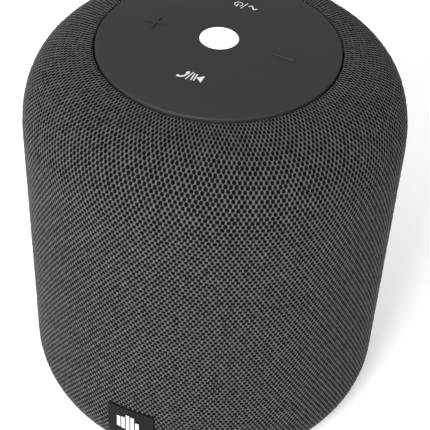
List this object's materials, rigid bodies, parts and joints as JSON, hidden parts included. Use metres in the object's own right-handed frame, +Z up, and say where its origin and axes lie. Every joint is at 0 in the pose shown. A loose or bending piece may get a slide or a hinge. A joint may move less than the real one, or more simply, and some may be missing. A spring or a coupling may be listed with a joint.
{
  "type": "smart speaker",
  "caption": "Round tabletop wireless speaker with a knitted fabric sleeve over a shouldered body and a domed touch-key control panel.",
  "frame": {"origin": "on the floor, at the centre of the round foot", "axes": "+Z up along the body axis, -Y towards the front tag, +Y towards the rear sockets, +X to the right seen from the front"},
  "size_m": [0.124, 0.124, 0.1387],
  "materials": {
    "knit_fabric": "open knitted mesh",
    "black_abs": "fine texture",
    "soft_touch": "matt soft-touch silicone",
    "tag_rubber": "matt rubber",
    "foot_silicone": "matt silicone",
    "screw_steel": "plated",
    "membrane_rubber": "thin butyl rubber",
    "radiator_metal": "satin",
    "cell_wrap": "shrink sleeve",
    "basket_steel": "pressed steel",
    "cone_paper": "pressed paper",
    "coil_copper": "copper winding on a former",
    "ferrite": "ferrite",
    "circuit_board": "solder mask",
    "chip_plastic": "moulded epoxy",
    "led_white": "white diffuser",
    "clear_guide": "clear acrylic",
    "socket_steel": "stamped shell",
    "ribbon_white": "flat flexible cable"
  },
  "bodies": {
    "root": {"aux_jack": "chip_plastic", "base_cover": "black_abs", "base_screws": "screw_steel", "battery_cells": "cell_wrap", "battery_holder": "black_abs", "board_screws": "screw_steel", "carrier_screws": "screw_steel", "control_board": "circuit_board", "control_carrier": "black_abs", "diffuser_screws": "screw_steel", "driver_basket": "basket_steel", "driver_gasket": "foot_silicone", "driver_screws": "screw_steel", "driver_surround": "membrane_rubber", "enclosure_lid": "black_abs", "enclosure_tub": "black_abs", "fabric_sleeve": "knit_fabric", "fabric_tag": "tag_rubber", "foot_ring": "foot_silicone", "grille_frame": "black_abs", "key_switches": "chip_plastic", "lid_gasket": "foot_silicone", "lid_screws": "screw_steel", "light_guide": "clear_guide", "light_lens": "led_white", "main_board": "circuit_board", "main_board_parts": "chip_plastic", "main_board_screws": "screw_steel", "motor_magnet": "ferrite", "motor_top_plate": "basket_steel", "motor_yoke": "basket_steel", "port_bezel": "black_abs", "port_board": "circuit_board", "port_board_screws": "screw_steel", "radiator_frame": "black_abs", "radiator_screws": "screw_steel", "radiator_surround": "membrane_rubber", "ribbon_cable": "ribbon_white", "sound_diffuser": "black_abs", "spider": "membrane_rubber", "status_led": "led_white", "top_panel": "soft_touch", "usb_c_socket": "socket_steel"},
    "key_plus_body": {"key_plus": "soft_touch", "plunger_plus": "chip_plastic"},
    "key_minus_body": {"key_minus": "soft_touch", "plunger_minus": "chip_plastic"},
    "key_call_body": {"key_call": "soft_touch", "plunger_call": "chip_plastic"},
    "key_mode_body": {"key_mode": "soft_touch", "plunger_mode": "chip_plastic"},
    "cone_body": {"driver_cone": "cone_paper", "dust_cap": "cone_paper", "voice_coil": "coil_copper"},
    "radiator_body": {"radiator_plate": "radiator_metal"}
  },
  "joints": [
    {"name": "plus_press", "type": "slide", "parent": "root", "child": "key_plus_body", "axis": [0, 0, -1], "range_m": [0, 0.0004], "stiffness_N_per_m": 800, "springref_m": -0.0012},
    {"name": "minus_press", "type": "slide", "parent": "root", "child": "key_minus_body", "axis": [0, 0, -1], "range_m": [0, 0.0004], "stiffness_N_per_m": 800, "springref_m": -0.0012},
    {"name": "call_press", "type": "slide", "parent": "root", "child": "key_call_body", "axis": [0, 0, -1], "range_m": [0, 0.0004], "stiffness_N_per_m": 800, "springref_m": -0.0012},
    {"name": "mode_press", "type": "slide", "parent": "root", "child": "key_mode_body", "axis": [0, 0, -1], "range_m": [0, 0.0004], "stiffness_N_per_m": 800, "springref_m": -0.0012},
    {"name": "cone_travel", "type": "slide", "parent": "root", "child": "cone_body", "axis": [0, 0, 1], "range_m": [-0.002, 0.002], "stiffness_N_per_m": 1200, "deforming": ["driver_surround", "spider"]},
    {"name": "radiator_travel", "type": "slide", "parent": "root", "child": "radiator_body", "axis": [0, 0, 1], "range_m": [-0.003, 0.003], "stiffness_N_per_m": 900, "deforming": ["radiator_surround"]}
  ]
}
